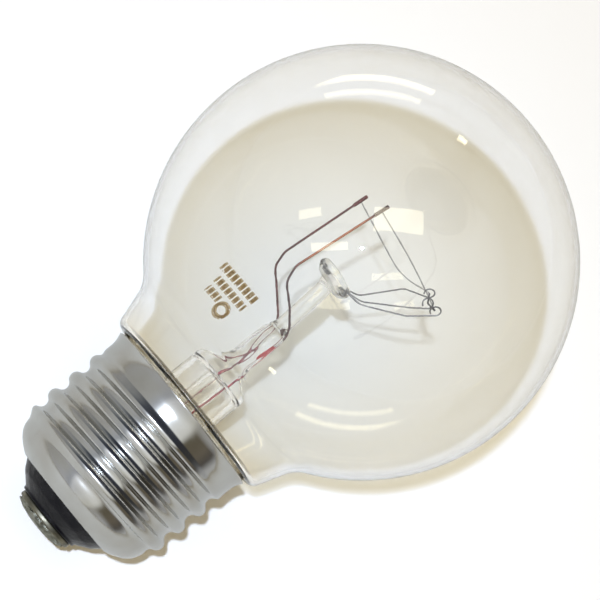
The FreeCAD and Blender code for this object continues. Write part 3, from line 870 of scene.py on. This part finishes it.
def add_window(name, right, up, width, height, strength):
    normal = image_right * right + image_up * up - ahead * math.sqrt(1 - right ** 2 - up ** 2)
    spot = globe_center + normal * globe_radius
    view = (camera_place - spot).normalized()
    out = 2 * normal.dot(view) * normal - view
    level = (image_right - out * image_right.dot(out)).normalized()
    window = add_object(name, bpy.data.lights.new(name, "AREA"))
    window.data.shape = "RECTANGLE"
    window.data.size = width
    window.data.size_y = height
    window.data.energy = strength * math.pi * width * height
    window.data.color = window_color
    window.matrix_world = Matrix.Translation(spot * mm + out * window_distance) @ Matrix(
        (level, out.cross(level), out)).transposed().to_4x4()
    window.visible_camera = False
    window.visible_diffuse = False
    window.light_linking.receiver_collection = glass_pieces


add_window("window_high", 0.13, 0.16, 0.27, 0.13, 3.4)
add_window("window_left", -0.24, 0.19, 0.12, 0.05, 3.0)
add_window("window_low", -0.16, 0.05, 0.2, 0.045, 3.2)
add_window("strip_top", 0.03, 0.79, 0.42, 0.05, 3.0)
add_window("strip_under", 0.03, 0.72, 0.36, 0.04, 2.5)
add_window("lamp_small", 0.41, 0.51, 0.04, 0.03, 10.0)

# The room: white to the camera and through the glass, and warm where it lights the bulb
# and the paper. The metal mirrors paler and darker parts of it: the rows give the angle
# round the bulb in degrees, and its colours level, above and below.
room_color = (0.49, 0.40, 0.235)
above_edges = (0.14, 0.32)
below_edges = (-0.35, -0.65)
panorama = (
    (-180, (0.45, 0.45, 0.44), (0.45, 0.45, 0.44), (0.45, 0.45, 0.44)),
    (-95, (0.45, 0.45, 0.44), (0.40, 0.40, 0.40), (0.45, 0.45, 0.44)),
    (-60, (0.48, 0.48, 0.46), (0.30, 0.31, 0.32), (0.50, 0.50, 0.50)),
    (-36, (0.50, 0.50, 0.48), (0.09, 0.10, 0.12), (0.52, 0.52, 0.53)),
    (-21, (0.44, 0.46, 0.50), (0.035, 0.04, 0.06), (0.42, 0.44, 0.48)),
    (-16, (0.95, 0.96, 0.98), (0.03, 0.035, 0.055), (0.80, 0.82, 0.86)),
    (28, (0.95, 0.95, 0.90), (0.04, 0.045, 0.06), (0.78, 0.77, 0.70)),
    (36, (0.14, 0.12, 0.08), (0.04, 0.04, 0.045), (0.42, 0.41, 0.38)),
    (60, (0.17, 0.145, 0.11), (0.05, 0.05, 0.05), (0.50, 0.50, 0.50)),
    (74, (0.10, 0.09, 0.08), (0.12, 0.12, 0.12), (0.50, 0.50, 0.50)),
    (86, (0.55, 0.55, 0.54), (0.45, 0.45, 0.45), (0.50, 0.50, 0.50)),
    (180, (0.6, 0.6, 0.6), (0.6, 0.6, 0.6), (0.5, 0.5, 0.5)),
)


def panorama_colors(tree, turn, column):
    """One column of the panorama as colours round the bulb."""
    ramp = tree.nodes.new("ShaderNodeValToRGB")
    stops = ramp.color_ramp.elements
    for at, row in enumerate(panorama):
        share = (row[0] + 180) / 360
        stop = stops[0] if at == 0 else stops[-1] if at == len(panorama) - 1 else stops.new(share)
        stop.position = share
        stop.color = (*row[column], 1)
    tree.links.new(turn, ramp.inputs["Fac"])
    return ramp.outputs["Color"]


world = bpy.data.worlds.new("room")
bpy.context.scene.world = world
world.use_nodes = True
tree = world.node_tree
room = tree.nodes["Background"]
room.inputs["Color"].default_value = (*room_color, 1)
white = tree.nodes.new("ShaderNodeBackground")
white.inputs["Color"].default_value = (1, 1, 1, 1)
mirrored = tree.nodes.new("ShaderNodeBackground")
where = tree.nodes.new("ShaderNodeTexCoord")
parts = tree.nodes.new("ShaderNodeSeparateXYZ")
tree.links.new(where.outputs["Generated"], parts.inputs["Vector"])
minus_y = compute(tree, "MULTIPLY", parts.outputs["Y"], -1)
around = compute(tree, "ARCTAN2", parts.outputs["X"], minus_y)
turn = rise(tree, around, -math.pi, math.pi)
colors = panorama_colors(tree, turn, 1)
for column, edges in ((2, above_edges), (3, below_edges)):
    slant = rise(tree, parts.outputs["Z"], *edges)
    colors = mix_colors(tree, slant, colors, panorama_colors(tree, turn, column))
tree.links.new(colors, mirrored.inputs["Color"])
light = tree.nodes.new("ShaderNodeLightPath").outputs
through = compute(tree, "GREATER_THAN", light["Is Transmission Ray"], light["Diffuse Depth"])
seen = compute(tree, "MAXIMUM", light["Is Camera Ray"], through)
unseen = mix_shaders(tree, light["Is Glossy Ray"], room.outputs["Background"],
                     mirrored.outputs["Background"])
tree.links.new(mix_shaders(tree, seen, unseen, white.outputs["Background"]),
               tree.nodes["World Output"].inputs["Surface"])

# Light has to pass up to sixteen faces of glass where the neck, flare and tubes overlap.
most_bounces = 32
cycles = bpy.context.scene.cycles
cycles.blur_glossy = 0
cycles.max_bounces = most_bounces
cycles.transmission_bounces = most_bounces
cycles.transparent_max_bounces = most_bounces
bpy.context.scene.view_settings.view_transform = "Standard"
